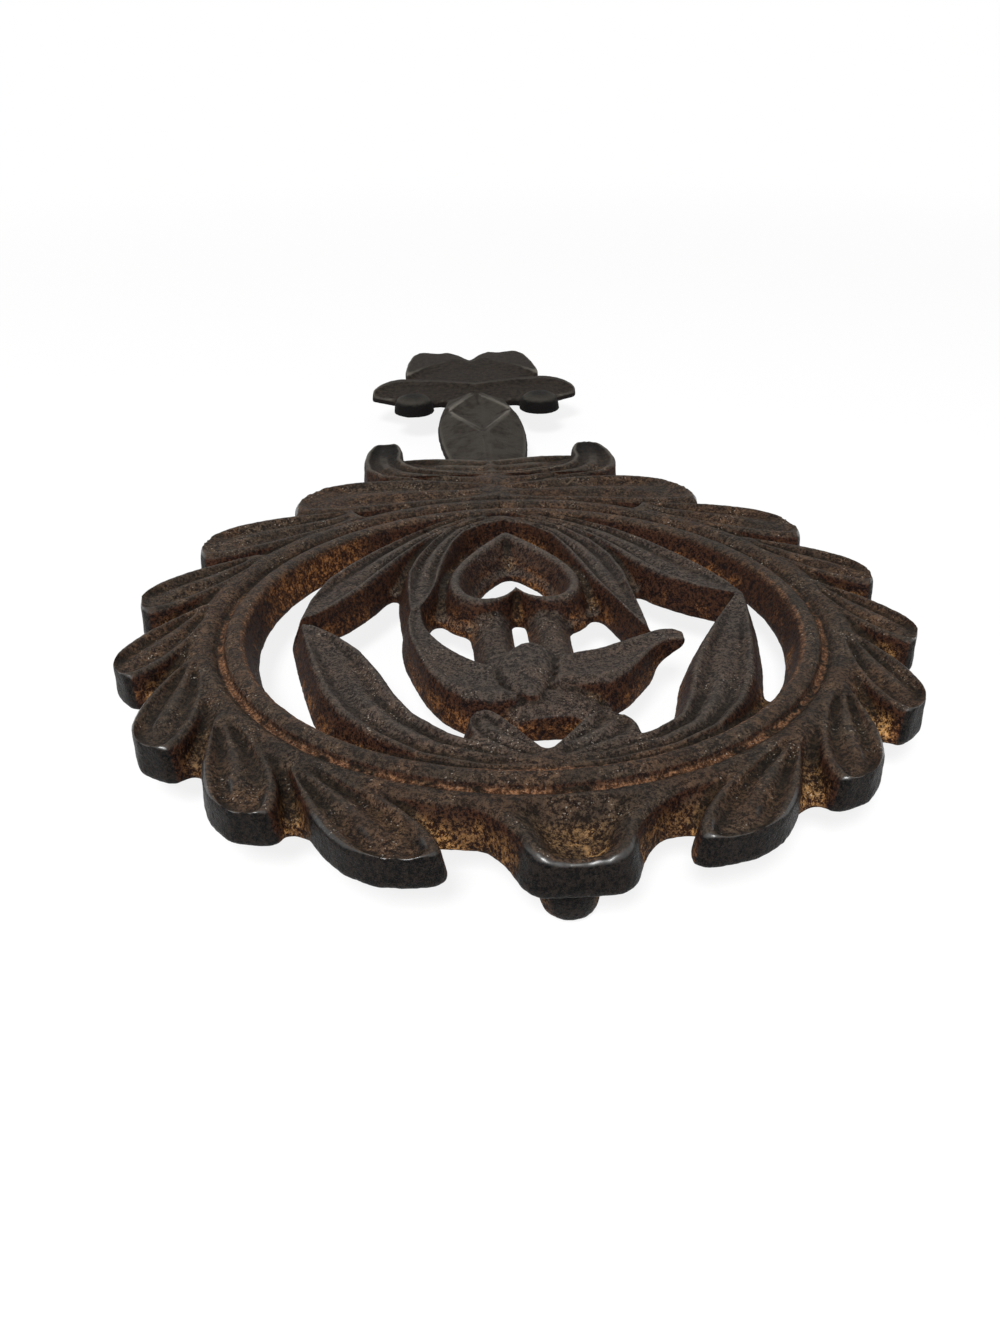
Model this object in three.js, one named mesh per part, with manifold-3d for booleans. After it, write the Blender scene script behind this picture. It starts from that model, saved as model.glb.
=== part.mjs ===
// Cast iron trivet: a laurel wreath round a heart and a bird, with a handle and three feet.
// The casting is divided the way its pattern is: a flat openwork backing, carved pieces of
// relief seated on it with a fine seam between neighbours, and feet under it.
// +Z is up, +Y points from the wreath to the handle, and the part rests on its feet at z = 0.
import * as THREE from "three";
import { mergeVertices } from "three/addons/utils/BufferGeometryUtils.js";
import Module from "manifold-3d";

const wasm = await Module();
wasm.setup();

// Driving dimensions, in millimetres and degrees.
const RING_RADIUS = 50; // centre of the wreath to the groove between band and branches
const BAND_WIDTH = 4.2; // smooth band inside the groove
const STEM_WIDTH = 4.2; // full-height part of a branch, outside the groove
const FLANK_WIDTH = 6.4; // slope from the branch down into the valleys
const FRONT_FLANK_SHARE = 0.3; // of that width, next to the cup
const BACKING_THICKNESS = 2;
const RELIEF_HEIGHT = 5; // backing to the plane that a pot stands on
const SEAM = 0.3; // clearance between neighbouring pieces of relief
const OPENING_DRAFT = 1.5; // how far a wall inside the ring spreads on its way down
const CUP_DRAFT = 0.6;

const LEAF_COUNT = 7; // ordinary leaves on a branch
const FIRST_LEAF_ANGLE = 13.3; // tip corner of the front leaf, from the front of the wreath
const LEAF_STEP = 18.6; // angle between the first two tips
const LEAF_STEP_GROWTH = 0.4; // what each further step gains, times its number squared
const RIGHT_LAG = 1.2; // degrees by which the right front leaf lags behind the left one
const RIGHT_TRIM = 0.02; // what the right leaves' outer edges lack, in ring radii
const LATE_LEAVES = 3; // leaves towards the handle, which grow outwards
const LATE_SPREAD = 0.17; // what the last leaf's outer edge gains, in ring radii
const LATE_STRETCH = 0.56; // what the last leaf's length gains, as a share
const VALLEY_GAIN = 2.4; // degrees by which a leaf after the first leaves a wider valley
const LEAF_LIFT = 1; // underside of the first leaf above the underside of the ring
const LEAF_DRAFT = 0.6; // how far a leaf's side towards the cup spreads on its way down
const HOLLOW_DEPTH = 1.3; // hollow of a leaf, below its rim

const CUP_REACH = 14.9; // groove to the front of the cup
const CUP_HALF_WIDTH = 7.1;
const CUP_SHIFT = 1.6; // the cup sits a little to the right
const CUP_DEPTH = 3.9;

const HEART_RIM = 0.8; // half the width of the heart's raised bead
const HEART_DRAFT_OUT = 2.4; // how far the heart's wall spreads outwards on its way down
const HEART_DRAFT_IN = 2.8;
const TIE_HEIGHT = 3; // ties between heart and bird, above the backing
const WING_CARRIED = 0.65; // share of the right wing's length that the backing carries
const FREE_TIP_RISE = 3.2; // top of the backing to the underside of a free tip

const CROWN_DEPTH = 31; // groove to the root of the handle
const HANDLE_RELIEF = 4.2;
const HANDLE_LIFT = 1.2; // underside of the handle above the underside of the wreath
const NECK_LENGTH = 59;
const NECK_HALF_WIDTH = 11.5;
const KNOT_HALF_WIDTH = 8.8; // flat diamond on the knot
const FINIAL_LENGTH = 50;
const FINIAL_HALF_WIDTH = 29.8;
const BOSS_RADIUS = 5.8;
const BOSS_SPACING = 35; // between the two bosses' axes
const BOSS_SETBACK = 3.5; // end of the neck back to the bosses' axes

const FOOT_HEIGHT = 6;
const FOOT_RADIUS = 4.1;
const FOOT_FLAT_RADIUS = 2.2; // flat that stands on the table
const FRONT_FOOT_INSET = 5.9; // front of the cup back to the front foot
const REAR_FOOT_SETOUT = 5; // groove out to the rear feet
const REAR_FOOT_ANGLE = 144; // rear feet, from the front of the wreath

// Facets along each kind of piece.
const BAND_STEPS = 22;
const LEAF_STEPS = 8;
const EDGE_STEPS = 8;
const HEART_STEPS = 8;
const ROUND_STEPS = 16;

// Levels that the dimensions give.
const BACKING_BOTTOM = FOOT_HEIGHT;
const BACKING_TOP = BACKING_BOTTOM + BACKING_THICKNESS;
const INNER_RADIUS = RING_RADIUS - BAND_WIDTH;
const HANDLE_ROOT = RING_RADIUS + CROWN_DEPTH;
const FINIAL_ROOT = HANDLE_ROOT + NECK_LENGTH;
const SHOULDER = 0.8; // share of the relief height at which a wall turns into its rim

const LEFT = -1;
const RIGHT = 1;
const radians = THREE.MathUtils.degToRad;
const { lerp, clamp } = THREE.MathUtils;

// Flat points and edges

// A place on the wreath: angle from its front, radius from its centre.
function polar(side, angle, radius) {
  const turn = radians(angle);
  return new THREE.Vector2(side * radius * Math.sin(turn), -radius * Math.cos(turn));
}

// A smooth edge through a few places, given in ring radii from the centre of the wreath.
function edge(...places) {
  const points = places.map(([x, y]) => new THREE.Vector2(x, y).multiplyScalar(RING_RADIUS));
  const curve = new THREE.SplineCurve(points);
  return (s) => curve.getPoint(s);
}

// The same on the other side of the centre line.
function mirrored(side, ...places) {
  return edge(...places.map(([x, y]) => [side * x, y]));
}

// An edge of the crown: ring radii from the centre line, and shares of the way from the groove
// to the root of the handle.
function crownEdge(side, ...places) {
  const points = places.map(
    ([x, y]) => new THREE.Vector2(side * x * RING_RADIUS, RING_RADIUS + y * CROWN_DEPTH),
  );
  const curve = new THREE.SplineCurve(points);
  return (s) => curve.getPoint(s);
}

// An edge of the finial: shares of its half width and of its length from the end of the neck.
function finialEdge(side, ...places) {
  const points = places.map(
    ([x, y]) => new THREE.Vector2(side * x * FINIAL_HALF_WIDTH, FINIAL_ROOT + y * FINIAL_LENGTH),
  );
  const curve = new THREE.SplineCurve(points);
  return (s) => curve.getPoint(s);
}

// Solids

// A closed geometry, turned so that its faces point out.
function closed(points, faces) {
  const volume = faces.reduce((sum, [a, b, c]) => {
    const area = new THREE.Vector3().crossVectors(points[b], points[c]);
    return sum + points[a].dot(area);
  }, 0);
  const outward = volume < 0 ? faces.map(([a, b, c]) => [a, c, b]) : faces;
  const geometry = new THREE.BufferGeometry().setFromPoints(points);
  geometry.setIndex(outward.flat());
  return geometry;
}

// A solid through rings of equal length. Each ring lies in one upright plane.
function loft(rings) {
  const count = rings[0].length;
  const faces = [];
  for (let row = 0; row + 1 < rings.length; row += 1) {
    for (let column = 0; column < count; column += 1) {
      const a = row * count + column;
      const b = row * count + ((column + 1) % count);
      faces.push([a, b, a + count], [b, b + count, a + count]);
    }
  }
  const last = (rings.length - 1) * count;
  for (const [a, b, c] of cap(rings[0])) faces.push([a, c, b]);
  for (const [a, b, c] of cap(rings.at(-1))) faces.push([last + a, last + b, last + c]);
  return closed(rings.flat(), faces);
}

// The triangles that close one upright ring, wound the way the ring runs.
function cap(ring) {
  const start = ring[0];
  const flat = ring.map((p) => new THREE.Vector2(Math.hypot(p.x - start.x, p.y - start.y), p.z));
  const faces = THREE.ShapeUtils.triangulateShape(flat, []);
  const turn = Math.sign(THREE.ShapeUtils.area(flat));
  return faces.map((face) => {
    const same = Math.sign(THREE.ShapeUtils.area(face.map((i) => flat[i]))) === turn;
    return same ? face : [face[0], face[2], face[1]];
  });
}

// A hoop: closed outlines of equal length, joined each to the next and the last to the first.
function hoop(outlines) {
  const count = outlines[0].length;
  const faces = [];
  outlines.forEach((outline, row) => {
    const next = ((row + 1) % outlines.length) * count;
    for (let column = 0; column < count; column += 1) {
      const beside = (column + 1) % count;
      const a = row * count + column;
      const b = row * count + beside;
      faces.push([a, b, next + column], [b, next + beside, next + column]);
    }
  });
  return closed(outlines.flat(), faces);
}

function toSolid(geometry) {
  const bare = new THREE.BufferGeometry();
  bare.setAttribute("position", geometry.getAttribute("position"));
  bare.setIndex(geometry.index);
  const merged = mergeVertices(bare, 1e-4);
  const vertProperties = merged.getAttribute("position").array;
  const triVerts = Uint32Array.from(merged.index.array);
  return new wasm.Manifold(new wasm.Mesh({ numProp: 3, vertProperties, triVerts }));
}

function toGeometry(solid) {
  const mesh = solid.getMesh();
  const geometry = new THREE.BufferGeometry();
  geometry.setAttribute("position", new THREE.BufferAttribute(mesh.vertProperties, 3));
  geometry.setIndex(new THREE.BufferAttribute(mesh.triVerts, 1));
  geometry.computeVertexNormals();
  return geometry;
}

// The body that is left when a neighbour's seam has cut slivers off a solid.
function mainBody(solid) {
  const bodies = solid.decompose();
  return bodies.reduce((most, body) => (body.volume() > most.volume() ? body : most));
}

// Levels of the space that a form keeps clear of its neighbours: height, share of the draft.
const clearance = [
  [BACKING_TOP - 1, 1],
  [BACKING_TOP, 1],
  [BACKING_TOP + SHOULDER * HANDLE_RELIEF, 0],
  [BACKING_TOP + 2 * RELIEF_HEIGHT, 0],
];

// Levels of the backing under a form.
function footprint(form) {
  const lift = form.lift ?? 0;
  return [
    [BACKING_BOTTOM + lift, 1],
    [BACKING_TOP, 1],
  ];
}

// A strip of relief between two edges. Its section is a list of [across, up] for each share
// of the way along: across runs from -1 at the first edge to 1 at the second, and up is the
// share of the relief height. At its foot each side spreads by its draft. Past the share of
// its length that the backing carries, its tip is free and thins from below.
class Strip {
  constructor(first, second, section, options = {}) {
    const { steps = EDGE_STEPS, height = RELIEF_HEIGHT, draft = [0, 0], lift = 0, carried = 1 } = options;
    this.section = section;
    this.height = height;
    this.draft = draft;
    this.lift = lift;
    this.carried = carried;
    this.rows = [];
    for (let step = 0; step <= steps; step += 1) {
      const s = step / steps;
      const a = first(s);
      const b = second(s);
      const out = b.clone().sub(a).normalize();
      this.rows.push({ s, a, b, out });
    }
  }

  relief() {
    return loft(
      this.rows.map(({ s, a, b, out }) => {
        const free = s > this.carried ? (s - this.carried) / (1 - this.carried) : 0;
        return this.section(s).map(([across, up]) => {
          const spread = across < 0 ? -this.draft[0] : this.draft[1];
          const place = a.clone().lerp(b, (across + 1) / 2);
          if (up === 0) place.addScaledVector(out, spread * (1 - free));
          const rise = up === 0 ? free * FREE_TIP_RISE : up * this.height;
          return new THREE.Vector3(place.x, place.y, BACKING_TOP + rise);
        });
      }),
    );
  }

  // An upright body over the strip's outline, larger all round by a seam, up to a share of its
  // length.
  block(drafted, share = 1) {
    const upright = this.draft[0] + this.draft[1] === 0;
    const levels = upright ? [drafted[0], drafted.at(-1)] : drafted;
    const rows = this.rows.filter(({ s }) => s <= share);
    const middles = rows.map(({ a, b }) => a.clone().add(b).multiplyScalar(0.5));
    const last = rows.length - 1;
    return loft(
      rows.map(({ a, b, out }, row) => {
        const along = new THREE.Vector2();
        if (row === 0) along.subVectors(middles[0], middles[1]).setLength(SEAM);
        if (row === last) along.subVectors(middles[last], middles[last - 1]).setLength(SEAM);
        const corner = (place, way, draft) => ([height, share]) => {
          const p = place.clone().addScaledVector(out, way * (SEAM + share * draft)).add(along);
          return new THREE.Vector3(p.x, p.y, height);
        };
        const up = levels.map(corner(b, 1, this.draft[1]));
        const down = levels.map(corner(a, -1, this.draft[0])).reverse();
        return [...up, ...down];
      }),
    );
  }
}

// The heart's frame: a raised bead on a wall that spreads on its way down.
class HeartFrame {
  // One outline of the heart, larger by a margin, with its point to the handle.
  outline(margin, level) {
    const r = RING_RADIUS;
    const side = new THREE.CubicBezierCurve(
      new THREE.Vector2(0, 0.7 * r + 1.9 * margin),
      new THREE.Vector2(0.06 * r + margin, 0.61 * r + margin),
      new THREE.Vector2(0.225 * r + margin, 0.42 * r),
      new THREE.Vector2(0.215 * r + margin, 0.25 * r),
    );
    const lobe = new THREE.CubicBezierCurve(
      new THREE.Vector2(0.215 * r + margin, 0.25 * r),
      new THREE.Vector2(0.2 * r + margin, 0.07 * r - margin),
      new THREE.Vector2(0.045 * r + 0.3 * margin, 0.075 * r - margin),
      new THREE.Vector2(0, 0.215 * r - 0.9 * margin),
    );
    const half = [...side.getPoints(HEART_STEPS), ...lobe.getPoints(HEART_STEPS).slice(1)];
    const back = half.slice(1, -1).reverse();
    const whole = [...half, ...back.map((p) => new THREE.Vector2(-p.x, p.y))];
    return whole.map((p) => new THREE.Vector3(p.x, p.y, level));
  }

  relief() {
    const top = BACKING_TOP + RELIEF_HEIGHT;
    const shoulder = BACKING_TOP + SHOULDER * RELIEF_HEIGHT;
    const spread = HEART_RIM + HEART_DRAFT_OUT;
    const inset = HEART_RIM + HEART_DRAFT_IN;
    return hoop([
      this.outline(spread, BACKING_TOP),
      this.outline(1.5 * HEART_RIM, shoulder),
      this.outline(0.6 * HEART_RIM, top),
      this.outline(-0.6 * HEART_RIM, top),
      this.outline(-1.4 * HEART_RIM, shoulder),
      this.outline(-inset, BACKING_TOP),
    ]);
  }

  block(levels) {
    const outside = levels.map(([height, share]) => {
      return this.outline(1.5 * HEART_RIM + SEAM + share * HEART_DRAFT_OUT, height);
    });
    const inside = levels.map(([height, share]) => {
      return this.outline(-1.5 * HEART_RIM - SEAM - share * HEART_DRAFT_IN, height);
    });
    return hoop([...outside, ...inside.reverse()]);
  }
}

// A domed boss with a dimple, turned about an upright axis.
class Boss {
  constructor(centre) {
    this.centre = centre;
    this.lift = HANDLE_LIFT;
  }

  relief() {
    const h = HANDLE_RELIEF;
    const r = BOSS_RADIUS;
    const profile = [
      [0, 0],
      [r, 0],
      [0.97 * r, 0.55 * h],
      [0.82 * r, 0.85 * h],
      [0.55 * r, 1.03 * h],
      [0.28 * r, 1.07 * h],
      [0, 0.97 * h],
    ];
    return this.turned(profile, BACKING_TOP);
  }

  block(levels) {
    const r = BOSS_RADIUS + SEAM;
    const low = levels[0][0];
    const high = levels.at(-1)[0];
    const profile = [
      [0, 0],
      [r, 0],
      [r, high - low],
      [0, high - low],
    ];
    return this.turned(profile, low);
  }

  turned(profile, level) {
    const points = profile.map(([x, y]) => new THREE.Vector2(x, y));
    const geometry = new THREE.LatheGeometry(points, ROUND_STEPS);
    geometry.rotateX(Math.PI / 2);
    geometry.translate(this.centre.x, this.centre.y, level);
    return geometry;
  }
}

// Sections

// Crowned band with a flat crest that a pot can stand on, falling to the groove outside.
const bandSection = () => [
  [-1, 0],
  [-0.97, SHOULDER],
  [-0.6, 1],
  [0.3, 1],
  [0.72, 0.88],
  [1, 0.66],
  [1, 0],
];

// A branch: its rounded stem beside the groove, then the flank that falls to the valleys.
function stemSection(s) {
  const flank = flankWidth(180 * s);
  const share = (width) => (2 * width) / (STEM_WIDTH + flank) - 1;
  return [
    [-1, 0],
    [-1, 0.66],
    [share(0.24 * STEM_WIDTH), 0.86],
    [share(0.55 * STEM_WIDTH), 0.98],
    [share(STEM_WIDTH), 0.92],
    [share(STEM_WIDTH + 0.45 * flank), 0.5],
    [share(STEM_WIDTH + 0.92 * flank), 0.12],
    [1, 0.06],
    [1, 0],
  ];
}

// How much of a hollow is open at a share of the way along: none at the ends, all between.
function opening(s, root = 0.16, tip = 0.2) {
  const rise = clamp(Math.min(s / root, (1 - s) / tip), 0, 1);
  return rise * rise * (3 - 2 * rise);
}

// A leaf: steep walls, and a raised rim round a hollow that holds one broad rib. The rib
// sinks into the hollow before the blunt end.
function leafSection(s) {
  const dip = (HOLLOW_DEPTH / RELIEF_HEIGHT) * opening(s);
  const rib = dip * lerp(0.3, 1, clamp((s - 0.5) / 0.3, 0, 1));
  const end = 0.06 * clamp((s - 0.85) / 0.15, 0, 1);
  return [
    [-1, 0],
    [-0.97, 0.82 - end],
    [-0.78, 1 - end],
    [-0.5, 1 - dip - end],
    [-0.26, 1 - 0.9 * dip - end],
    [-0.06, 1 - rib - end],
    [0.14, 1 - rib - end],
    [0.32, 1 - 0.9 * dip - end],
    [0.52, 1 - dip - end],
    [0.78, 1 - end],
    [0.97, 0.82 - end],
    [1, 0],
  ];
}

// The cup at the front of the wreath: a rim round one deep hollow.
function cupSection(s) {
  const dip = (CUP_DEPTH / RELIEF_HEIGHT) * opening(s, 0.3, 0.32);
  const rim = 1 - 0.4 * THREE.MathUtils.smoothstep(s, 0.9, 1);
  return [
    [-1, 0],
    [-0.97, 0.84 * rim],
    [-0.82, rim],
    [-0.64, rim - 0.25 * dip],
    [-0.36, rim - 0.85 * dip],
    [0, rim - dip],
    [0.36, rim - 0.85 * dip],
    [0.64, rim - 0.25 * dip],
    [0.82, rim],
    [0.97, 0.84 * rim],
    [1, 0],
  ];
}

// A rounded back, as on the bird, with its crest to one side and its height along it.
function roundedSection(crest, height) {
  return (s) => {
    const top = height(s);
    return [
      [-1, 0],
      [-0.98, 0.62 * top],
      [lerp(-1, crest, 0.35), 0.88 * top],
      [crest, top],
      [lerp(1, crest, 0.35), 0.88 * top],
      [0.98, 0.62 * top],
      [1, 0],
    ];
  };
}

// A wing: a flat back with a ridge along its rear edge and a higher one along its front.
const wingSection = () => [
  [-1, 0],
  [-0.97, 0.78],
  [-0.8, 0.88],
  [-0.3, 0.82],
  [0.35, 0.86],
  [0.72, 1],
  [0.97, 0.84],
  [1, 0],
];

// A flat tie that rises from the heart's wall to the bird's shoulder.
function tieSection(s) {
  const top = lerp(0.7, 1, s);
  return [
    [-1, 0],
    [-0.96, 0.75 * top],
    [-0.6, top],
    [0.6, top],
    [0.96, 0.75 * top],
    [1, 0],
  ];
}

// Strips

// The edges of an ordinary wreath leaf from its root to its blunt end. Each place is an angle
// from the leaf's tip corner, a radius in ring radii, and its share of the late leaves' spread.
const LEAF_INNER_EDGE = [
  [26, 1.06, 0.2],
  [15, 1.07, 0.2],
  [6.5, 1.13, 0.2],
  [1.5, 1.215, 0.2],
  [0.3, 1.285, 0.3],
  [3.5, 1.318, 0.8],
];
const LEAF_OUTER_EDGE = [
  [26, 1.11, 1],
  [21, 1.185, 1],
  [17, 1.25, 1],
  [13.5, 1.295, 1],
  [10.5, 1.325, 1],
  [7, 1.332, 1],
];

function wreathLeaf(side, number) {
  const late = Math.max(0, number + LATE_LEAVES + 1 - LEAF_COUNT) / LATE_LEAVES;
  const grown = late * late;
  const stretch = 1 + LATE_STRETCH * grown;
  const lag = side === RIGHT ? RIGHT_LAG * (1 - number / (LEAF_COUNT - 1)) : 0;
  const trim = side === RIGHT ? RIGHT_TRIM : 0;
  const tip = FIRST_LEAF_ANGLE + LEAF_STEP * number + LEAF_STEP_GROWTH * number * number + lag;
  const curve = (places, widening) => {
    const root = places[0][0];
    const points = places.map(([angle, radius, share]) => {
      const reach = radius + share * (LATE_SPREAD * grown - trim);
      const kept = angle + widening * (1 - angle / root);
      return polar(side, tip + stretch * kept, reach * RING_RADIUS);
    });
    const spline = new THREE.SplineCurve(points);
    return (s) => spline.getPoint(s);
  };
  const open = number === 0 ? 0 : Math.max(0, 1 - 1.5 * late);
  const inner = curve(LEAF_INNER_EDGE, VALLEY_GAIN * open);
  const outer = curve(LEAF_OUTER_EDGE, 0);
  const lift = LEAF_LIFT * Math.max(0, 1 - number / 2);
  const options = { steps: LEAF_STEPS, draft: [LEAF_DRAFT, 0], lift };
  return new Strip(inner, outer, leafSection, options);
}

// An arc of the ring between two radii, from the front seam to the rear seam on one side.
function arc(side, inner, outer, section, draft) {
  const seam = THREE.MathUtils.radToDeg(SEAM / 2 / inner);
  const angle = (s) => lerp(seam, 180 - seam, s);
  const first = (s) => polar(side, angle(s), inner);
  const second = (s) => polar(side, angle(s), outer(angle(s)));
  return new Strip(first, second, section, { steps: BAND_STEPS, draft });
}

// The flank of a branch is narrow next to the cup and widens over the first leaf.
function flankWidth(angle) {
  const share = THREE.MathUtils.smoothstep(angle, 12, 32);
  return FLANK_WIDTH * lerp(FRONT_FLANK_SHARE, 1, share);
}

// The cup narrows from the branches to its blunt front.
function cup() {
  const back = RING_RADIUS + STEM_WIDTH / 2;
  const front = RING_RADIUS + CUP_REACH;
  const half = (s) => {
    const arms = CUP_HALF_WIDTH * (1 + 1.15 * Math.pow(1 - s, 2.6));
    return arms * Math.pow(1 - Math.pow(0.97 * s, 9), 1 / 3);
  };
  const eased = (s) => 1 - Math.pow(1 - s, 1.4);
  const place = (s, way) => new THREE.Vector2(CUP_SHIFT + way * half(s), -lerp(back, front, s));
  const first = (s) => place(eased(s), -1);
  const second = (s) => place(eased(s), 1);
  return new Strip(first, second, (s) => cupSection(eased(s)), { draft: [CUP_DRAFT, CUP_DRAFT] });
}

const HANDLE_FORM = { height: HANDLE_RELIEF, lift: HANDLE_LIFT };

// The neck swells into a knot, whose flat diamond stands above two sloping flanks.
function neck() {
  const widest = 0.56;
  const half = (s) => {
    const reach = s < widest ? s / widest : (1 - s) / (1 - widest);
    return NECK_HALF_WIDTH * (0.72 + 0.28 * Math.sin((Math.PI / 2) * reach));
  };
  const diamond = (s) => {
    const reach = clamp(1 - Math.abs(s - 0.7) / 0.32, 0, 1);
    return KNOT_HALF_WIDTH * reach + 0.5;
  };
  const section = (s) => {
    const ridge = Math.min(0.8, diamond(s) / half(s));
    const top = 0.84 + 0.16 * Math.sin(Math.PI * clamp(s / 1.4, 0, 1));
    return [
      [-1, 0],
      [-0.98, 0.36],
      [-ridge, top],
      [-0.75 * ridge, top - 0.05],
      [0.75 * ridge, top - 0.05],
      [ridge, top],
      [0.98, 0.36],
      [1, 0],
    ];
  };
  const y = (s) => lerp(HANDLE_ROOT, FINIAL_ROOT, s);
  const first = (s) => new THREE.Vector2(-half(s), y(s));
  const second = (s) => new THREE.Vector2(half(s), y(s));
  return new Strip(first, second, section, HANDLE_FORM);
}

// A side petal of the finial: its ridge runs near the rear edge, and its tip droops.
function sidePetal(side) {
  const front = finialEdge(side, [0, 0], [0.35, 0], [0.72, 0.03], [0.985, 0.15]);
  const rear = finialEdge(side, [0, 0.25], [0.4, 0.34], [0.72, 0.4], [0.91, 0.32], [0.99, 0.19]);
  const section = (s) => {
    const top = 0.95 - 0.35 * s * s;
    return [
      [-1, 0],
      [-0.97, 0.4 * top],
      [0.1, 0.72 * top],
      [0.45, top],
      [0.9, 0.88 * top],
      [1, 0],
    ];
  };
  return new Strip(front, rear, section, HANDLE_FORM);
}

// A top petal: its ridge crosses it from the notch at the rear to the root of the side petal.
function topPetal(side) {
  const front = finialEdge(side, [0, 0.25], [0.35, 0.32], [0.66, 0.385]);
  const rear = finialEdge(
    side,
    [0, 0.74],
    [0.17, 0.97],
    [0.34, 0.945],
    [0.5, 1],
    [0.62, 0.84],
    [0.67, 0.5],
  );
  const section = (s) => {
    const ridge = clamp(lerp(0.7, -0.7, s / 0.85), -0.7, 0.7);
    return [
      [-1, 0],
      [-0.97, 0.62],
      [lerp(-1, ridge, 0.6), 0.74],
      [ridge, 1],
      [lerp(1, ridge, 0.5), 0.92],
      [0.97, 0.85],
      [1, 0],
    ];
  };
  return new Strip(front, rear, section, HANDLE_FORM);
}

// A strip outside the ring, and one of the openwork inside it.
function crown(first, second, section, height) {
  return new Strip(first, second, section, { height });
}

function openwork(first, second, section, height, carried) {
  const draft = [OPENING_DRAFT, OPENING_DRAFT];
  return new Strip(first, second, section, { height, draft, carried });
}

// The assembly

const iron = (color, roughness) => new THREE.MeshStandardMaterial({ color, roughness, metalness: 0.6 });
const WREATH_IRON = iron(0x3d322b, 0.72);
const CENTRE_IRON = iron(0x4a3426, 0.8);
const HANDLE_IRON = iron(0x4b4743, 0.6);
const FOOT_IRON = iron(0x2b2826, 0.65);
const BACKING_IRON = iron(0x5a3f26, 0.85);

const trivet = new THREE.Group();
const seated = []; // what already stands on the backing, for its neighbours to keep clear of

function addMesh(name, geometry, material) {
  const mesh = new THREE.Mesh(geometry, material);
  mesh.name = name;
  trivet.add(mesh);
}

// Seats a piece of relief on the backing, cut back by a seam from those already there.
function seat(name, form, material) {
  const room = seated.reduce(
    (left, other) => left.subtract(toSolid(other.block(clearance))),
    toSolid(form.relief()),
  );
  addMesh(name, toGeometry(mainBody(room)), material);
  seated.push(form);
}

function seatPair(name, makeForm, material) {
  seat(name + "_left", makeForm(LEFT), material);
  seat(name + "_right", makeForm(RIGHT), material);
}

// The wreath
const bandEdge = () => RING_RADIUS - SEAM / 2;
const flankEdge = (angle) => RING_RADIUS + STEM_WIDTH + flankWidth(angle);
seatPair(
  "ring_band",
  (side) => arc(side, INNER_RADIUS, bandEdge, bandSection, [OPENING_DRAFT, 0]),
  WREATH_IRON,
);
seat("front_cup", cup(), WREATH_IRON);
for (let number = 0; number < LEAF_COUNT; number += 1) {
  seatPair("wreath_leaf_" + (number + 1), (side) => wreathLeaf(side, number), WREATH_IRON);
}
seat(
  "knob_leaf_left",
  crown(
    crownEdge(LEFT, [0.005, 0.33], [0.3, 0.56], [0.53, 0.68], [0.59, 0.97], [0.575, 1.29], [0.53, 1.435]),
    crownEdge(LEFT, [0.005, 0.68], [0.2, 0.76], [0.34, 0.87], [0.4, 1.03], [0.4, 1.275], [0.43, 1.435]),
    leafSection,
  ),
  WREATH_IRON,
);
seat(
  "knob_leaf_right",
  crown(
    crownEdge(RIGHT, [0.005, 0.33], [0.3, 0.55], [0.53, 0.645], [0.59, 0.9], [0.575, 1.19], [0.53, 1.34]),
    crownEdge(RIGHT, [0.005, 0.68], [0.2, 0.74], [0.33, 0.84], [0.385, 0.985], [0.39, 1.19], [0.43, 1.34]),
    leafSection,
  ),
  WREATH_IRON,
);
seatPair(
  "crown_leaf",
  (side) =>
    crown(
      crownEdge(side, [0, 0.69], [0.13, 0.725], [0.26, 0.78], [0.4, 0.855]),
      crownEdge(side, [0, 1], [0.13, 1.05], [0.26, 1.08], [0.4, 1.065]),
      leafSection,
      0.9 * RELIEF_HEIGHT,
    ),
  WREATH_IRON,
);
seatPair(
  "stem",
  (side) => arc(side, RING_RADIUS + SEAM / 2, flankEdge, stemSection, [0, 0]),
  WREATH_IRON,
);

// The openwork inside the ring
seat("heart", new HeartFrame(), CENTRE_IRON);
seat(
  "heart_leaf_left",
  openwork(
    edge([-0.004, 0.9], [-0.17, 0.85], [-0.31, 0.63], [-0.385, 0.4], [-0.39, 0.2], [-0.38, 0.07]),
    edge([-0.004, 0.84], [-0.13, 0.78], [-0.21, 0.62], [-0.255, 0.4], [-0.28, 0.25], [-0.33, 0.1]),
    leafSection,
  ),
  CENTRE_IRON,
);
seat(
  "heart_leaf_right",
  openwork(
    edge([0.004, 0.9], [0.19, 0.82], [0.35, 0.6], [0.41, 0.36], [0.415, 0.1], [0.42, -0.11]),
    edge([0.004, 0.84], [0.15, 0.75], [0.225, 0.52], [0.27, 0.3], [0.33, 0.12], [0.39, -0.1]),
    leafSection,
  ),
  CENTRE_IRON,
);
seat(
  "upper_leaf_left",
  openwork(
    edge([-0.01, 0.99], [-0.22, 0.885], [-0.42, 0.7], [-0.6, 0.48], [-0.7, 0.3], [-0.755, 0.03]),
    edge([-0.01, 0.93], [-0.2, 0.81], [-0.35, 0.615], [-0.46, 0.41], [-0.57, 0.21], [-0.7, 0.05]),
    leafSection,
  ),
  CENTRE_IRON,
);
seat(
  "upper_leaf_right",
  openwork(
    edge([0.01, 0.99], [0.24, 0.885], [0.46, 0.72], [0.64, 0.47], [0.74, 0.28], [0.8, 0.11]),
    edge([0.01, 0.93], [0.2, 0.82], [0.35, 0.64], [0.45, 0.42], [0.57, 0.23], [0.755, 0.1]),
    leafSection,
  ),
  CENTRE_IRON,
);
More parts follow.
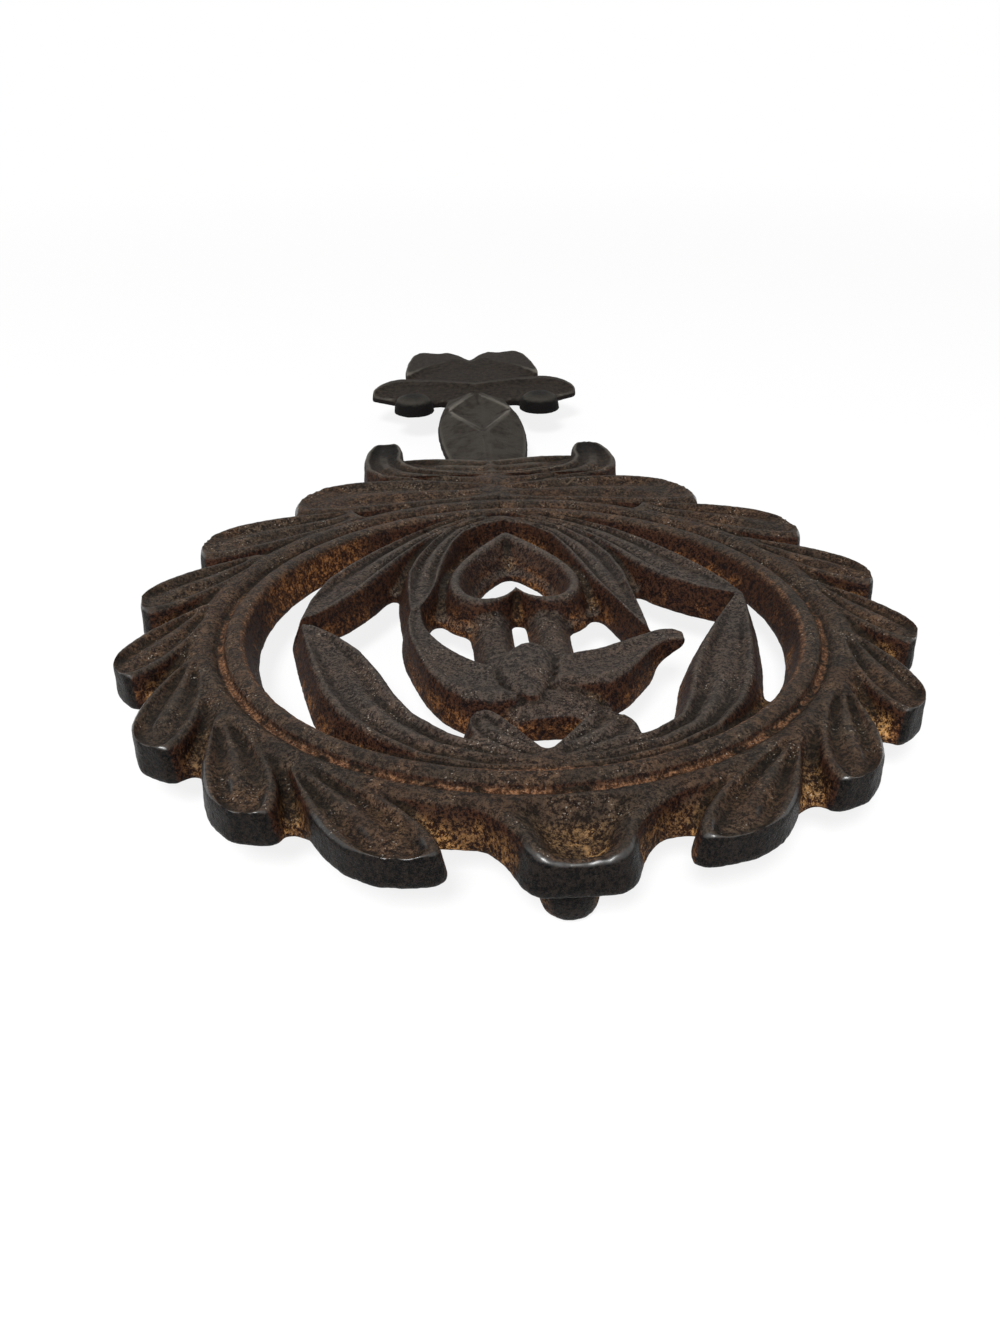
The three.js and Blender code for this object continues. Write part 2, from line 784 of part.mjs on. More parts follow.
seat(
  "lower_leaf_left",
  openwork(
    edge([-0.004, -0.92], [-0.3, -0.86], [-0.52, -0.68], [-0.64, -0.48], [-0.7, -0.25], [-0.75, 0]),
    edge([-0.004, -0.86], [-0.22, -0.745], [-0.38, -0.57], [-0.46, -0.36], [-0.56, -0.15], [-0.7, -0.01]),
    leafSection,
  ),
  CENTRE_IRON,
);
seat(
  "lower_leaf_right",
  openwork(
    edge([0.004, -0.92], [0.3, -0.86], [0.53, -0.72], [0.67, -0.5], [0.75, -0.2], [0.805, 0.12]),
    edge([0.004, -0.86], [0.25, -0.77], [0.41, -0.65], [0.48, -0.42], [0.6, -0.16], [0.76, 0.1]),
    leafSection,
  ),
  CENTRE_IRON,
);

// The bird
const fullHeight = () => 1;
seat(
  "bird_body",
  openwork(
    edge([-0.035, -0.2], [-0.095, -0.25], [-0.12, -0.33], [-0.105, -0.43], [-0.07, -0.51], [-0.03, -0.535]),
    edge([0.055, -0.2], [0.09, -0.25], [0.085, -0.33], [0.065, -0.42], [0.03, -0.5], [0.01, -0.535]),
    roundedSection(0, fullHeight),
  ),
  CENTRE_IRON,
);
seat(
  "bird_wing_left",
  openwork(
    edge([-0.08, -0.34], [-0.165, -0.29], [-0.26, -0.18], [-0.325, -0.04], [-0.335, 0.09]),
    edge([-0.06, -0.54], [-0.19, -0.545], [-0.29, -0.44], [-0.35, -0.28], [-0.39, -0.08], [-0.38, 0.06]),
    wingSection,
  ),
  CENTRE_IRON,
);
seat(
  "bird_wing_right",
  openwork(
    edge([0.04, -0.27], [0.2, -0.245], [0.33, -0.18], [0.43, -0.13], [0.49, -0.12], [0.525, -0.155]),
    edge([0.05, -0.45], [0.21, -0.475], [0.315, -0.4], [0.4, -0.275], [0.465, -0.225], [0.52, -0.23]),
    wingSection,
    RELIEF_HEIGHT,
    WING_CARRIED,
  ),
  CENTRE_IRON,
);
seat(
  "tip_leaf_left",
  openwork(
    edge([-0.01, -0.87], [-0.1, -0.83], [-0.2, -0.74], [-0.215, -0.65], [-0.185, -0.595]),
    edge([-0.01, -0.81], [-0.05, -0.74], [-0.1, -0.65], [-0.13, -0.61], [-0.16, -0.59]),
    leafSection,
  ),
  CENTRE_IRON,
);
seat(
  "tip_leaf_right",
  openwork(
    edge([0.01, -0.87], [0.14, -0.82], [0.26, -0.76], [0.27, -0.69], [0.215, -0.63]),
    edge([0.01, -0.81], [0.07, -0.73], [0.11, -0.67], [0.15, -0.635], [0.185, -0.62]),
    leafSection,
  ),
  CENTRE_IRON,
);
seat(
  "bird_tail",
  openwork(
    edge([-0.1, -0.5], [-0.09, -0.56], [-0.05, -0.61]),
    edge([0.15, -0.46], [0.2, -0.54], [0.16, -0.61]),
    roundedSection(0, (s) => 0.8 - 0.2 * s),
  ),
  CENTRE_IRON,
);
seatPair(
  "heart_tie",
  (side) =>
    openwork(
      mirrored(side, [0.05, 0.16], [0.055, -0.03], [0.045, -0.27]),
      mirrored(side, [0.15, 0.12], [0.14, -0.05], [0.14, -0.29]),
      tieSection,
      TIE_HEIGHT,
    ),
  CENTRE_IRON,
);

// The handle
seatPair(
  "boss",
  (side) => new Boss(new THREE.Vector2((side * BOSS_SPACING) / 2, FINIAL_ROOT - BOSS_SETBACK)),
  HANDLE_IRON,
);
seat("handle_neck", neck(), HANDLE_IRON);
seatPair("side_petal", sidePetal, HANDLE_IRON);
seatPair("top_petal", topPetal, HANDLE_IRON);

// The backing is the union of what stands on it.
const backing = seated
  .map((form) => toSolid(form.block(footprint(form), form.carried)))
  .reduce((sum, block) => sum.add(block));
addMesh("backing", toGeometry(mainBody(backing)), BACKING_IRON);

// Feet: round, tapered and rounded off, with a small flat to stand on.
function foot() {
  const rounding = FOOT_RADIUS - FOOT_FLAT_RADIUS;
  const points = [
    new THREE.Vector2(0, 0),
    new THREE.Vector2(FOOT_FLAT_RADIUS, 0),
    new THREE.Vector2(FOOT_FLAT_RADIUS + 0.55 * rounding, 0.14 * rounding),
    new THREE.Vector2(FOOT_FLAT_RADIUS + 0.88 * rounding, 0.5 * rounding),
    new THREE.Vector2(FOOT_RADIUS, 1.2 * rounding),
    new THREE.Vector2(FOOT_RADIUS, FOOT_HEIGHT),
    new THREE.Vector2(0, FOOT_HEIGHT),
  ];
  return new THREE.LatheGeometry(points, ROUND_STEPS).rotateX(Math.PI / 2);
}

function addFoot(name, place) {
  const geometry = foot().translate(place.x, place.y, 0);
  addMesh(name, toGeometry(toSolid(geometry)), FOOT_IRON);
}

const frontFootRadius = RING_RADIUS + CUP_REACH - FRONT_FOOT_INSET;
const rearFootRadius = RING_RADIUS + REAR_FOOT_SETOUT;
addFoot("front_foot", polar(LEFT, 0, frontFootRadius).setX(CUP_SHIFT / 2));
addFoot("rear_foot_left", polar(LEFT, REAR_FOOT_ANGLE, rearFootRadius));
addFoot("rear_foot_right", polar(RIGHT, REAR_FOOT_ANGLE, rearFootRadius));

// The origin is under the middle of the part, on the surface that it stands on.
const extent = new THREE.Box3().setFromObject(trivet);
const middle = extent.getCenter(new THREE.Vector3());
trivet.position.set(-middle.x, -middle.y, 0);

const part = new THREE.Group();
part.add(trivet);
export default part;
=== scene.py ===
import math

import bpy
import numpy as np
from mathutils import Matrix, Vector


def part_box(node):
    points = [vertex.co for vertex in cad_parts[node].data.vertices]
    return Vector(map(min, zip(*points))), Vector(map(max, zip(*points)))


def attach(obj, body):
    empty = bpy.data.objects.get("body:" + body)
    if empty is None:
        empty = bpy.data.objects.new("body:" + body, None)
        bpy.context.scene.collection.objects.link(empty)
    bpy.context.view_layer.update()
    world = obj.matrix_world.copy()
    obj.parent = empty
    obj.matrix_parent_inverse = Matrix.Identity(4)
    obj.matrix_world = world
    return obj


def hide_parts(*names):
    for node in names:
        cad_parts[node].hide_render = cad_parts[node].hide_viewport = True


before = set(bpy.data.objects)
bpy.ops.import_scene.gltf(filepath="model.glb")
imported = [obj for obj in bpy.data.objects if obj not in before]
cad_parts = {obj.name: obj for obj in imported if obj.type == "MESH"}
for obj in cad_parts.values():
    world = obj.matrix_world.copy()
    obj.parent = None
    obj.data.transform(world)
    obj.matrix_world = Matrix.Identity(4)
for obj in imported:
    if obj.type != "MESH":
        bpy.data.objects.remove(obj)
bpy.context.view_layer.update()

# Sizes are written in millimetres and places in the frame's metres.
MM = 0.001
VOXEL = 0.4 * MM  # fineness of the cast skin
SEAM_CLOSING = 0.2 * MM  # what each carved piece grows so that the metal runs together
GRAIN_ROOM = 0.1 * MM  # how far the skin lies under the pattern's surface, for its grain
GRAIN_SIZE = 0.9 * MM
GRAIN_HEIGHT = 0.14 * MM
SKIN_WEAR_PASSES = 3  # rounds that soften the whole relief, as the sand mould does
EDGE_WEAR_PASSES = 45  # further rounds on the proud edges, which hands and pots have rubbed
EDGE_FULL = 0.7  # millimetres proud of an even surface at which those rounds tell in full
WALL_WEAR_PASSES = 60  # and below the relief, where the walls and lower edges are round
WALL_START = 1.4  # millimetres below the pot's plane where those rounds begin to tell
WALL_FULL = 6.0  # and where they tell in full
FOOT_START = 5.6  # millimetres above the table where the feet begin, which keep their form
FOOT_BLEND = 0.4
TIP_WEAR_PASSES = 10  # further rounds on the two small leaves under the bird's tail
BOSS_WEAR_PASSES = 90  # and on the bosses of the handle, which are round beads
ROUNDED_DEPTH = 5 * MM  # how far below the pot's plane the last two reach
ROUNDED_BLEND = 2  # millimetres outside the piece over which they fade
CREASE_PASSES = 12  # rounds that make the even surface against which creases are measured
CREASE_FULL = 0.3  # millimetres under it at which a crease is carved in full
CREASE_DEPTH = 0.2 * MM  # what the deepest creases gain, as a chasing tool would cut them
HOLLOW_PASSES = 60  # the same three for hollows
HOLLOW_FULL = 0.6
HOLLOW_DEPTH = 0.35 * MM
KNOT_MIDDLE = 122.3  # millimetres from the middle of the wreath to that of the knot's diamond
KNOT_HALF_LENGTH = 18.9
KNOT_HALF_WIDTH = 9.3
KNOT_RIDGE = 0.9  # half the width of the raised ridges round the diamond
KNOT_SLOPE = 3.6  # width of the slope inside them
KNOT_TOP = -4  # the knot's top lies above this height from the pot's plane, in millimetres
KNOT_DISH = 1.3 * MM  # what the diamond is dished inside its ridges
BAND_LINE = 46.3  # radius of the golden line along the middle of the band, in millimetres
FRONT_CUT = 20 * MM  # from the middle of the wreath to where its front half is cut off
CROWN_CUT = 70 * MM  # and to where the handle with its crown is
SHARP_ANGLE = math.radians(60)

# The studio
SKY_LIGHT = 0.34
PAPER_GLOW = 0.85  # share of the floor's white that isn't lit, so that its shadow stays faint

# The camera stands low in front of the cup, near the wreath.
LENS = 29.77
CAMERA_FROM_RING = Vector((-15.29, -165.92, 83.45)) * MM  # from the middle of the pot's plane
CAMERA_PITCH = math.radians(29.41)  # below the horizon
CAMERA_TURN = math.radians(-4.0)
CAMERA_ROLL = math.radians(-0.48)


def band_middle():
    """The middle of the wreath, on the plane that a pot stands on."""
    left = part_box("ring_band_left")
    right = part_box("ring_band_right")
    low = Vector(map(min, left[0], right[0]))
    high = Vector(map(max, left[1], right[1]))
    return Vector(((low.x + high.x) / 2, (low.y + high.y) / 2, high.z))


RING = band_middle()
GROOVE = RING.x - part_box("ring_band_left")[0].x  # radius of the groove outside the band


def deselect():
    if bpy.context.mode != "OBJECT":
        bpy.ops.object.mode_set(mode="OBJECT")
    bpy.ops.object.select_all(action="DESELECT")


def choose(piece):
    deselect()
    piece.select_set(True)
    bpy.context.view_layer.objects.active = piece


# The camera, the floor and the lights


def make_camera():
    data = bpy.data.cameras.new("camera")
    data.sensor_width = 36
    data.lens = LENS
    data.clip_start = 1 * MM
    camera = bpy.data.objects.new("camera", data)
    bpy.context.collection.objects.link(camera)
    turn = Matrix.Rotation(CAMERA_TURN, 4, "Z")
    pitch = Matrix.Rotation(math.pi / 2 - CAMERA_PITCH, 4, "X")
    roll = Matrix.Rotation(CAMERA_ROLL, 4, "Z")
    camera.matrix_world = Matrix.Translation(RING + CAMERA_FROM_RING) @ turn @ pitch @ roll
    bpy.context.scene.camera = camera


class Socket:
    """One output of a material's nodes. Sums written with it add their Math nodes."""

    def __init__(self, nodes, socket):
        self.nodes = nodes
        self.socket = socket

    def math(self, operation, first, second):
        return self.nodes.add("Math", {"operation": operation}, {0: first, 1: second})

    def __add__(self, other):
        return self.math("ADD", self, other)

    def __radd__(self, other):
        return self.math("ADD", other, self)

    def __sub__(self, other):
        return self.math("SUBTRACT", self, other)

    def __rsub__(self, other):
        return self.math("SUBTRACT", other, self)

    def __mul__(self, other):
        return self.math("MULTIPLY", self, other)

    def __rmul__(self, other):
        return self.math("MULTIPLY", other, self)

    def __truediv__(self, other):
        return self.math("DIVIDE", self, other)

    def __neg__(self):
        return self.math("MULTIPLY", self, -1)

    def __abs__(self):
        return self.math("ABSOLUTE", self, 0)

    def root(self):
        return self.math("SQRT", self, 0)

    def either(self, other):
        """The larger of the two."""
        return self.math("MAXIMUM", self, other)

    def both(self, other):
        """The smaller of the two."""
        return self.math("MINIMUM", self, other)

    def rise(self, low, high):
        """0 up to low and 1 from high, with a smooth rise between. It falls where high is less."""
        ends = (low, high, 0, 1) if low < high else (high, low, 1, 0)
        sockets = dict(zip(("From Min", "From Max", "To Min", "To Max"), ends))
        return self.nodes.add("MapRange", {"interpolation_type": "SMOOTHSTEP"}, {"Value": self, **sockets})


class Nodes:
    """The nodes of one material."""

    def __init__(self, name, owner=None):
        self.material = owner or bpy.data.materials.new(name)
        self.material.use_nodes = True
        self.tree = self.material.node_tree
        self.tree.nodes.clear()

    def add(self, kind, settings=None, inputs=None, output=0):
        """Adds a node: its settings first, then what its inputs hold or are linked to."""
        node = self.tree.nodes.new("ShaderNode" + kind)
        for name, value in (settings or {}).items():
            setattr(node, name, value)
        for name, value in (inputs or {}).items():
            if isinstance(value, Socket):
                self.tree.links.new(value.socket, node.inputs[name])
            else:
                node.inputs[name].default_value = value
        return Socket(self, node.outputs[output])

    def noise(self, place, size, detail=3, roughness=0.55):
        """Even noise whose lumps measure about size millimetres."""
        values = {"Vector": place, "Scale": 1 / size, "Detail": detail, "Roughness": roughness}
        return self.add("TexNoise", {"noise_dimensions": "3D"}, values)

    def blend(self, first, second, share):
        """A colour between two, by a share."""
        settings = {"data_type": "RGBA", "clamp_factor": True}
        return self.add("Mix", settings, {0: share, 6: first, 7: second}, output=2)

    def axes(self, vector):
        parts = self.tree.nodes.new("ShaderNodeSeparateXYZ")
        self.tree.links.new(vector.socket, parts.inputs[0])
        return [Socket(self, part) for part in parts.outputs]

    def finish(self, shader):
        kind = "World" if isinstance(self.material, bpy.types.World) else "Material"
        out = self.tree.nodes.new("ShaderNodeOutput" + kind)
        self.tree.links.new(shader.socket, out.inputs["Surface"])
        return self.material


def colour(red, green, blue):
    return (red, green, blue, 1)


def seen_directly(nodes):
    """1 where the eye, or a mirror or glass in the part, looks at the paper or the sky."""
    path = nodes.add("LightPath")
    mirrored = Socket(nodes, path.socket.node.outputs["Is Glossy Ray"])
    through = Socket(nodes, path.socket.node.outputs["Is Transmission Ray"])
    return path.either(mirrored).either(through)


def pale_floor():
    """White paper that keeps the trivet's shadow, and turns to plain white away from it."""
    nodes = Nodes("pale_floor")
    paper = nodes.add("BsdfDiffuse", inputs={"Color": colour(0.8, 0.8, 0.8)})
    white = nodes.add("Emission", inputs={"Color": colour(1, 1, 1), "Strength": 1})
    x, y, _ = nodes.axes(nodes.add("TexCoord", output=3))
    away = (x * x + y * y).root().rise(0.25, 0.8)
    share = (PAPER_GLOW + (1 - PAPER_GLOW) * away) * seen_directly(nodes)
    return nodes.finish(nodes.add("MixShader", inputs={0: share, 1: paper, 2: white}))


def make_floor():
    deselect()
    bpy.ops.mesh.primitive_plane_add(size=8, location=(0, 0, 0))
    floor = bpy.context.object
    floor.name = "floor"
    floor.data.materials.append(pale_floor())


def make_lamp(name, place, size, power):
    data = bpy.data.lights.new(name, "AREA")
    data.size = size
    data.energy = power
    lamp = bpy.data.objects.new(name, data)
    bpy.context.collection.objects.link(lamp)
    lamp.location = place
    lamp.rotation_mode = "QUATERNION"
    lamp.rotation_quaternion = (-Vector(place)).to_track_quat("-Z", "Y")


def make_light():
    world = bpy.data.worlds.new("studio")
    nodes = Nodes("studio", world)
    glow = nodes.add("Background", inputs={"Color": colour(1, 1, 1), "Strength": SKY_LIGHT})
    white = nodes.add("Background", inputs={"Color": colour(1, 1, 1), "Strength": 1})
    share = seen_directly(nodes)
    sky = nodes.add("MixShader", inputs={0: share, 1: glow, 2: white})
    nodes.finish(sky)
    bpy.context.scene.world = world
    make_lamp("front_lamp", (-0.24, -0.9, 1.0), 0.36, 26.0)
    make_lamp("rear_lamp", (-0.2, 0.75, 0.5), 0.4, 0.9)


# The casting


def cast_skin():
    """One skin over all the carved pieces: their seams run together, and edges are soft."""
    deselect()
    copies = []
    for name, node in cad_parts.items():
        copy = bpy.data.objects.new(name + "_copy", node.data.copy())
        bpy.context.collection.objects.link(copy)
        copy.data.materials.clear()
        copies.append(copy)
    for copy in copies:
        copy.select_set(True)
    bpy.context.view_layer.objects.active = copies[0]
    bpy.ops.object.join()
    skin = bpy.context.object
    skin.name = "cast_skin"
    bpy.ops.object.mode_set(mode="EDIT")
    bpy.ops.mesh.select_all(action="SELECT")
    bpy.ops.mesh.remove_doubles(threshold=0.001 * MM)
    bpy.ops.object.mode_set(mode="OBJECT")
    swell(skin, SEAM_CLOSING)
    remesh = skin.modifiers.new("skin", "REMESH")
    remesh.mode = "VOXEL"
    remesh.voxel_size = VOXEL
    apply(skin, remesh)
    for _ in range(2):
        soften(skin, SKIN_WEAR_PASSES)
        swell(skin, -(SEAM_CLOSING + GRAIN_ROOM) / 2)
    edges = np.clip(-depths(skin, HOLLOW_PASSES) / EDGE_FULL, 0, 1)
    soften(skin, EDGE_WEAR_PASSES, weigh(skin, "edges", edges))
    wear_walls(skin)
    for side in ("_left", "_right"):
        round_off(skin, "tip_leaf" + side, TIP_WEAR_PASSES)
        round_off(skin, "boss" + side, BOSS_WEAR_PASSES)
    deepen(skin, "creases", CREASE_PASSES, CREASE_FULL, CREASE_DEPTH)
    deepen(skin, "hollows", HOLLOW_PASSES, HOLLOW_FULL, HOLLOW_DEPTH)
    dish_knot(skin)
    soften(skin, SKIN_WEAR_PASSES)
    for name, passes in (("crease", CREASE_PASSES), ("hollow", HOLLOW_PASSES)):
        measured = depths(skin, passes)
        skin.data.attributes.new(name, "FLOAT", "POINT").data.foreach_set("value", measured)
    sand_grain(skin)
    return skin


def apply(piece, modifier):
    choose(piece)
    bpy.ops.object.modifier_apply(modifier=modifier.name)


def swell(piece, distance, group=None):
    displace = piece.modifiers.new("swell", "DISPLACE")
    displace.mid_level = 0
    displace.strength = distance
    if group:
        displace.vertex_group = group.name
    apply(piece, displace)


def soften(piece, passes, group=None):
    smooth = piece.modifiers.new("soften", "SMOOTH")
    smooth.factor = 0.5
    smooth.iterations = passes
    if group:
        smooth.vertex_group = group.name
    apply(piece, smooth)


def sand_grain(piece):
    """Small lumps and pits that the sand mould leaves."""
    clouds = bpy.data.textures.new("sand", "CLOUDS")
    clouds.noise_scale = GRAIN_SIZE
    clouds.noise_depth = 2
    grain = piece.modifiers.new("grain", "DISPLACE")
    grain.texture = clouds
    grain.texture_coords = "LOCAL"
    grain.mid_level = 0.5
    grain.strength = GRAIN_HEIGHT
    apply(piece, grain)


def corners(mesh):
    places = np.empty(len(mesh.vertices) * 3, np.float32)
    mesh.vertices.foreach_get("co", places)
    return places.reshape(-1, 3)


def depths(piece, passes):
    """How deep each place lies under an even surface, in millimetres."""
    even = bpy.data.objects.new("even", piece.data.copy())
    bpy.context.collection.objects.link(even)
    soften(even, passes)
    normals = np.empty(len(even.data.vertices) * 3, np.float32)
    even.data.vertex_normals.foreach_get("vector", normals)
    apart = corners(even.data) - corners(piece.data)
    bpy.data.objects.remove(even)
    return (apart * normals.reshape(-1, 3)).sum(1) / MM


def weigh(piece, name, shares):
    """A vertex group that holds a share for each place, in tenths."""
    group = piece.vertex_groups.new(name=name)
    tenths = np.round(shares * 10).astype(int)
    for tenth in range(1, 11):
        group.add(np.flatnonzero(tenths == tenth).tolist(), tenth / 10, "REPLACE")
    return group


def wear_walls(piece):
    """Rounds the walls and the lower edges, but not the feet."""
    height = corners(piece.data)[:, 2] / MM
    low = np.clip((RING.z / MM - height - WALL_START) / (WALL_FULL - WALL_START), 0, 1)
    above_feet = np.clip((height - FOOT_START) / FOOT_BLEND, 0, 1)
    soften(piece, WALL_WEAR_PASSES, weigh(piece, "walls", low * above_feet))


def round_off(piece, name, passes):
    """Smooths the skin over a piece of the pattern that is cast rounder than it was cut."""
    low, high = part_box(name)
    places = corners(piece.data)
    inside = np.minimum(places - np.array(low), np.array(high) - places)[:, :2].min(1) / MM
    on_top = places[:, 2] > RING.z - ROUNDED_DEPTH
    shares = np.clip((inside + ROUNDED_BLEND) / ROUNDED_BLEND, 0, 1) * on_top
    soften(piece, passes, weigh(piece, name, shares))


def deepen(piece, name, passes, full, gain):
    """Carves what lies under an even surface: by gain where it lies full millimetres deep."""
    shares = np.clip(depths(piece, passes) / full, 0, 1)
    swell(piece, -gain, weigh(piece, name, shares))


def dish_knot(piece):
    """Dishes the diamond on top of the handle's knot."""
    places = (corners(piece.data) - np.array(RING)) / MM
    reach = 1 - np.abs(places[:, 1] - KNOT_MIDDLE) / KNOT_HALF_LENGTH
    inside = KNOT_HALF_WIDTH * reach - np.abs(places[:, 0])
    on_top = places[:, 2] > KNOT_TOP
    shares = np.clip((inside - KNOT_RIDGE) / KNOT_SLOPE, 0, 1) * on_top
    swell(piece, -KNOT_DISH, weigh(piece, "knot", shares))


def part_of(skin, name, cuts):
    """The part of the skin on one side of each plane, closed where it is cut."""
    piece = bpy.data.objects.new(name, skin.data.copy())
    piece.data.name = name
    bpy.context.collection.objects.link(piece)
    choose(piece)
    bpy.ops.object.mode_set(mode="EDIT")
    for place, way in cuts:
        bpy.ops.mesh.select_all(action="SELECT")
        bpy.ops.mesh.bisect(plane_co=place, plane_no=way, use_fill=True, clear_inner=True)
        bpy.ops.mesh.mark_sharp()
    bpy.ops.object.mode_set(mode="OBJECT")
    piece.data.validate()
    bpy.ops.object.shade_smooth_by_angle(angle=SHARP_ANGLE)
    return piece


# The finish


def aged_iron():
    """Old cast iron: brown oxide on the relief, ochre rust in its hollows, black outer walls with painted
    shade, painted sheen on the ridges, painted shade in the creases and painted glints.
    """
    # Places and sizes are in millimetres, radius and from_y from the middle of the wreath.
    nodes = Nodes("aged_iron")
    place = nodes.add("TexCoord", output=3)
    place = nodes.add("VectorMath", {"operation": "SCALE"}, {0: place, "Scale": 1 / MM})
    x, y, z = nodes.axes(place)
    normal = nodes.add("NewGeometry", output=1)
    toward_x, toward_y, up = nodes.axes(normal)
    from_x = x - RING.x / MM
    from_y = y - RING.y / MM
    radius = (from_x * from_x + from_y * from_y).root()
    outward = (toward_x * from_x + toward_y * from_y) / radius

    turn = nodes.add("Math", {"operation": "ARCTAN2"}, {0: from_x, 1: -from_y})
    along_leaf = nodes.add("CombineXYZ", inputs={0: turn * 65, 1: radius * 0.16, 2: z})

    broad = nodes.noise(place, 14, detail=2)
    patches = nodes.noise(place, 4.5, detail=3, roughness=0.6)
    specks = nodes.noise(place, 1.2, detail=3, roughness=0.7)
    grain = nodes.noise(place, 0.5, detail=3, roughness=0.85)
    glints = nodes.noise(place, 0.3, detail=0)
    streaks = nodes.noise(along_leaf, 1.1, detail=2)
    hollow = nodes.add("Attribute", {"attribute_name": "hollow"}, output=2)
    crease = nodes.add("Attribute", {"attribute_name": "crease"}, output=2)

    wall = up.rise(0.8, 0.4)
    top = 1 - wall
    outside = radius.rise(60.6, 62.4) * outward.rise(0.1, 0.4) * up.rise(0.97, 0.8)
    handle = from_y.rise(66, 90)
    wreath = 1 - handle
    front = from_y.rise(30, -5)
    low = z.rise(11.5, 8.5)
    sunk = hollow.rise(0.05, 0.6)
    proud = hollow.rise(-0.1, -0.7)
    pitted = (grain * 0.65 + specks * 0.35).rise(0.43, 0.58)
    crumbs = (specks * 0.35 + grain * 0.65).rise(0.46, 0.62)

    # Oxide on the tops: dark and even on the rims, lighter and mottled in the hollows
    even = nodes.blend(colour(0.009, 0.006, 0.004), colour(0.038, 0.027, 0.020), pitted)
    mottled = nodes.blend(colour(0.006, 0.003, 0.002), colour(0.100, 0.066, 0.042), pitted)
    worn = (0.3 + 0.6 * patches.rise(0.4, 0.6) + 0.5 * sunk).both(1) * (1 - 0.8 * proud)
    iron = nodes.blend(even, mottled, worn * (0.4 + 0.6 * streaks.rise(0.4, 0.55)))
    tint = nodes.blend(colour(0.76, 0.78, 0.80), colour(1.0, 0.88, 0.80), broad.rise(0.4, 0.6))
    multiply = {"data_type": "RGBA", "blend_type": "MULTIPLY"}
    iron = nodes.add("Mix", multiply, {0: 1, 6: iron, 7: tint}, output=2)
    dusty = nodes.blend(colour(0.012, 0.009, 0.008), colour(0.078, 0.065, 0.057), pitted)
    iron = nodes.blend(iron, dusty, 0.5 * radius.rise(46, 38) * (1 - 0.5 * proud))
    grey = nodes.blend(colour(0.004, 0.003, 0.002), colour(0.028, 0.021, 0.016), specks.rise(0.3, 0.7))
    # The handle's walls are painted darker than its tops: painted shade
    grey = nodes.blend(grey, colour(0.003, 0.002, 0.002), 0.8 * wall)
    # The knot's top is painted lighter in patches: painted light
    knot = from_y.rise(142, 138) * abs(from_x).rise(14, 12) * top
    grey = nodes.blend(grey, colour(0.046, 0.041, 0.034), 0.55 * knot * patches.rise(0.3, 0.6))
    # The handle's bosses are painted near-black: painted shade
    boss = handle * from_y.rise(142, 138) * abs(from_x).rise(12, 14)
    grey = nodes.blend(grey, colour(0.002, 0.002, 0.002), 0.7 * boss)
    # The handle's ridges are painted lighter: partly wear, partly painted sheen
    worn_and_sheen_ridges = nodes.blend(grey, colour(0.140, 0.128, 0.108), 0.75 * crease.rise(-0.01, -0.07) * top)
    iron = nodes.blend(iron, worn_and_sheen_ridges, handle)

    # Red brown walls in the openings, with ochre crumbs low down
    red = nodes.blend(colour(0.003, 0.001, 0.001), colour(0.040, 0.016, 0.008), pitted)
    orange = nodes.blend(colour(0.022, 0.007, 0.003), colour(0.320, 0.140, 0.050), crumbs)
    rusty = (patches * 0.5 + broad * 0.5).rise(0.46, 0.62)
    stain = from_x.rise(-26, -31) * from_y.rise(8, 16) * radius.rise(47, 45) * patches.rise(0.25, 0.5)
    red = nodes.blend(red, orange, 0.8 * (low * low * rusty).either(stain))
    iron = nodes.blend(iron, red, wall * wreath)

    # Ochre rust in the deepest hollows and in the valleys between the leaves
    ochre = nodes.blend(colour(0.026, 0.009, 0.003), colour(0.600, 0.330, 0.120), crumbs)
    valley = radius.rise(54, 56) * radius.rise(63, 61) * z.rise(11.5, 9.5)
    rust = (sunk * (0.15 + low)).either(0.85 * valley).both(1) * (0.2 + 0.7 * rusty) * wreath
    iron = nodes.blend(iron, ochre, rust)

    # Two golden lines, in the groove outside the band and in the one along its middle
    groove_line = abs(radius - GROOVE / MM).rise(0.75, 0.3)
    lines = groove_line.either(abs(radius - BAND_LINE).rise(0.6, 0.25))
    golden = nodes.blend(colour(0.040, 0.017, 0.008), colour(0.230, 0.110, 0.055), crumbs)
    gilt = lines * top * front * (patches * 0.7 + specks * 0.3).rise(0.38, 0.52)
    iron = nodes.blend(iron, golden, 0.8 * gilt)

    # Black outer walls: the iron's dark colour, painted darker still as painted shade on the walls that
    # face the front
    black_with_painted_shade = nodes.blend(colour(0.001, 0.001, 0.001), colour(0.015, 0.011, 0.009), pitted)
    iron = nodes.blend(iron, black_with_painted_shade, outside)

    # Ridges painted lighter, partly wear and partly painted sheen, and painted shade in the creases
    ridge = crease.rise(-0.02, -0.1) * top * wreath
    iron = nodes.blend(iron, colour(0.066, 0.055, 0.045), 0.5 * ridge)
    iron = nodes.blend(iron, colour(0.003, 0.002, 0.001), 0.75 * crease.rise(0.02, 0.12) * (1 - gilt))

    # Painted glints: bright grains painted where the light would catch them
    painted_glints = glints.rise(0.72, 0.8) * wreath * top * patches.rise(0.5, 0.65)
    iron = nodes.blend(iron, colour(0.350, 0.310, 0.260), 0.7 * painted_glints)

    rough = 0.45 + 0.3 * specks + 0.3 * rust + 0.15 * handle - 0.3 * proud - 0.22 * outside
    shoulder = outside * up.rise(0.35, 0.6) * hollow.rise(0.1, -0.15)
    lumps = (grain + 0.6 * specks + 0.25 * glints) * (1 + 0.9 * outside) + 0.8 * streaks * sunk
    bump = nodes.add("Bump", inputs={"Strength": 1.0, "Distance": 0.34 * MM, "Height": lumps})
    values = {
        "Base Color": iron,
        "Roughness": rough.both(0.95).either(0.25),
        "Specular IOR Level": 0.07,
        "Coat Weight": (0.25 * proud * wreath).either(shoulder),
        "Coat Roughness": 0.33,
        "Normal": bump,
    }
    return nodes.finish(nodes.add("BsdfPrincipled", inputs=values))


make_camera()
make_floor()
make_light()

skin = cast_skin()
finish = aged_iron()

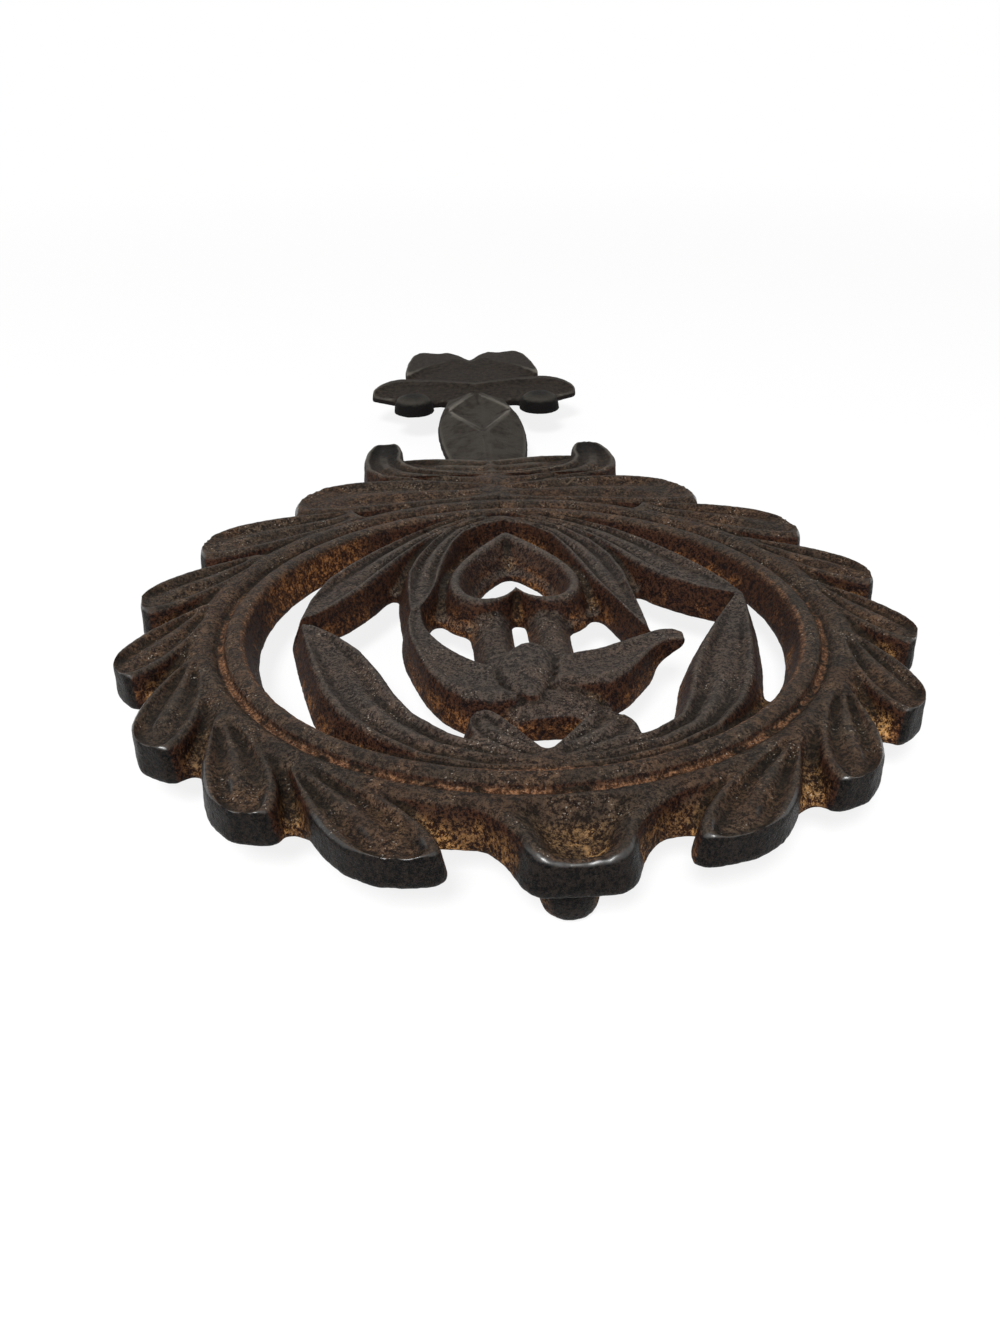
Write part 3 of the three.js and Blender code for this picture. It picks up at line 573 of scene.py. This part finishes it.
crown = RING.y + CROWN_CUT
divide = RING.y - FRONT_CUT
parts = {"handle_casting": ([((0, crown, 0), (0, 1, 0))], "handle_iron")}
for end, along in (("front", -1), ("rear", 1)):
    for side, across in (("left", -1), ("right", 1)):
        cuts = [((RING.x, 0, 0), (across, 0, 0)), ((0, divide, 0), (0, along, 0))]
        if end == "rear":
            cuts.append(((0, crown, 0), (0, -1, 0)))
        parts[f"{end}_{side}_casting"] = (cuts, "wreath_iron")
for name, (cuts, slot) in parts.items():
    piece = part_of(skin, name, cuts)
    piece.data.materials.append(finish)
    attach(piece, "root")
bpy.data.objects.remove(skin)


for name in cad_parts:
    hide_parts(name)

bpy.context.scene.view_settings.view_transform = "Standard"
